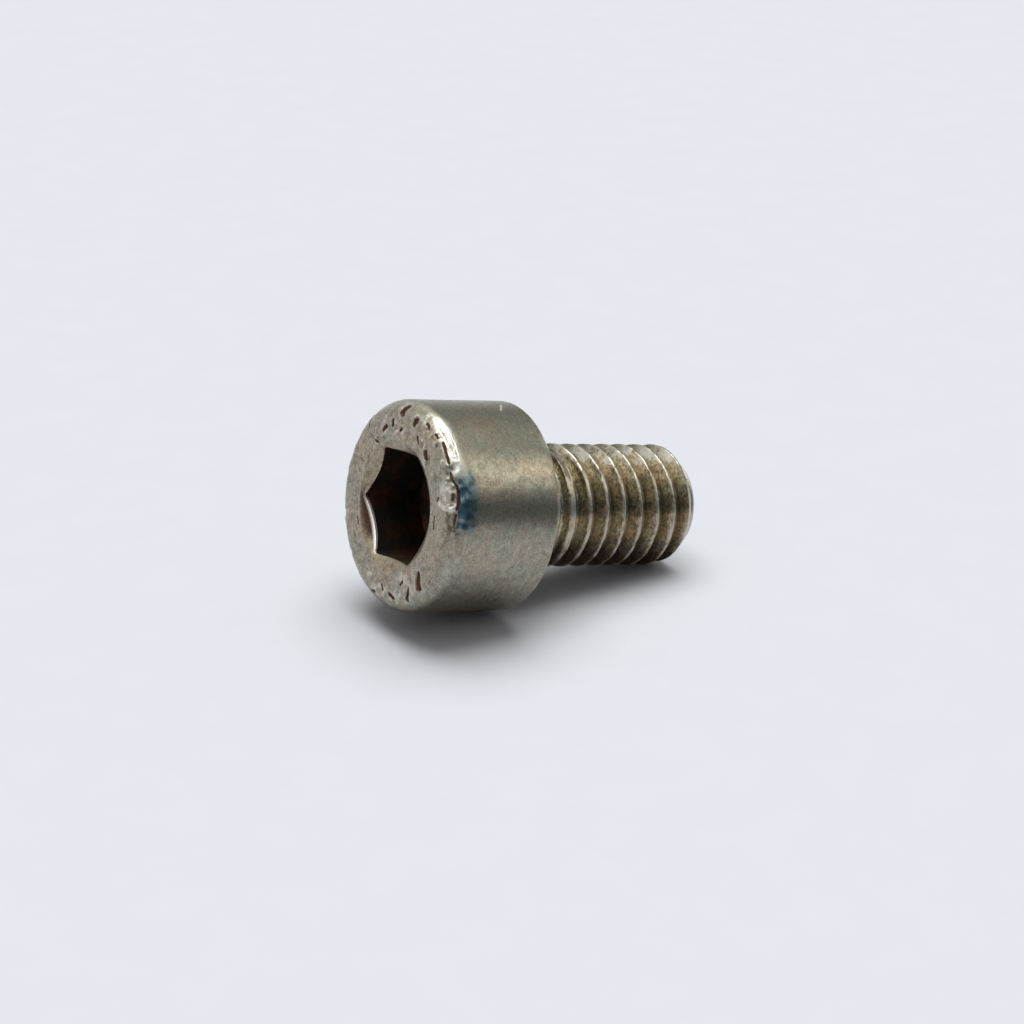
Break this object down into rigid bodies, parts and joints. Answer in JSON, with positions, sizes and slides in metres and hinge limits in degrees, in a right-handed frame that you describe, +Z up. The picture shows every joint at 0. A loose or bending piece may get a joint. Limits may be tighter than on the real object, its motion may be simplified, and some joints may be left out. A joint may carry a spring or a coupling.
{
  "type": "hex socket cap screw",
  "caption": "Hexagon socket head cap screw: cylindrical head with a rounded top edge and a hexagon recess, on a short right-handed shank threaded to the head.",
  "frame": {"origin": "middle of the bearing face, on the screw's axis, where the shank leaves the head", "axes": "+Z up from the table the screw lies on; +X the way the shank points, seen from above; the axis leans 12.54 degrees below +X toward the tip, because the screw lies on the rim of its head and the last ridge of its thread, near the tip"},
  "size_m": [0.017, 0.01, 0.0108],
  "materials": {
    "steel": "satin turned metal, bright on the thread crests, brown residue in the thread and the marks on the head"
  },
  "bodies": {
    "root": {"cap_screw": "steel"}
  },
  "joints": []
}
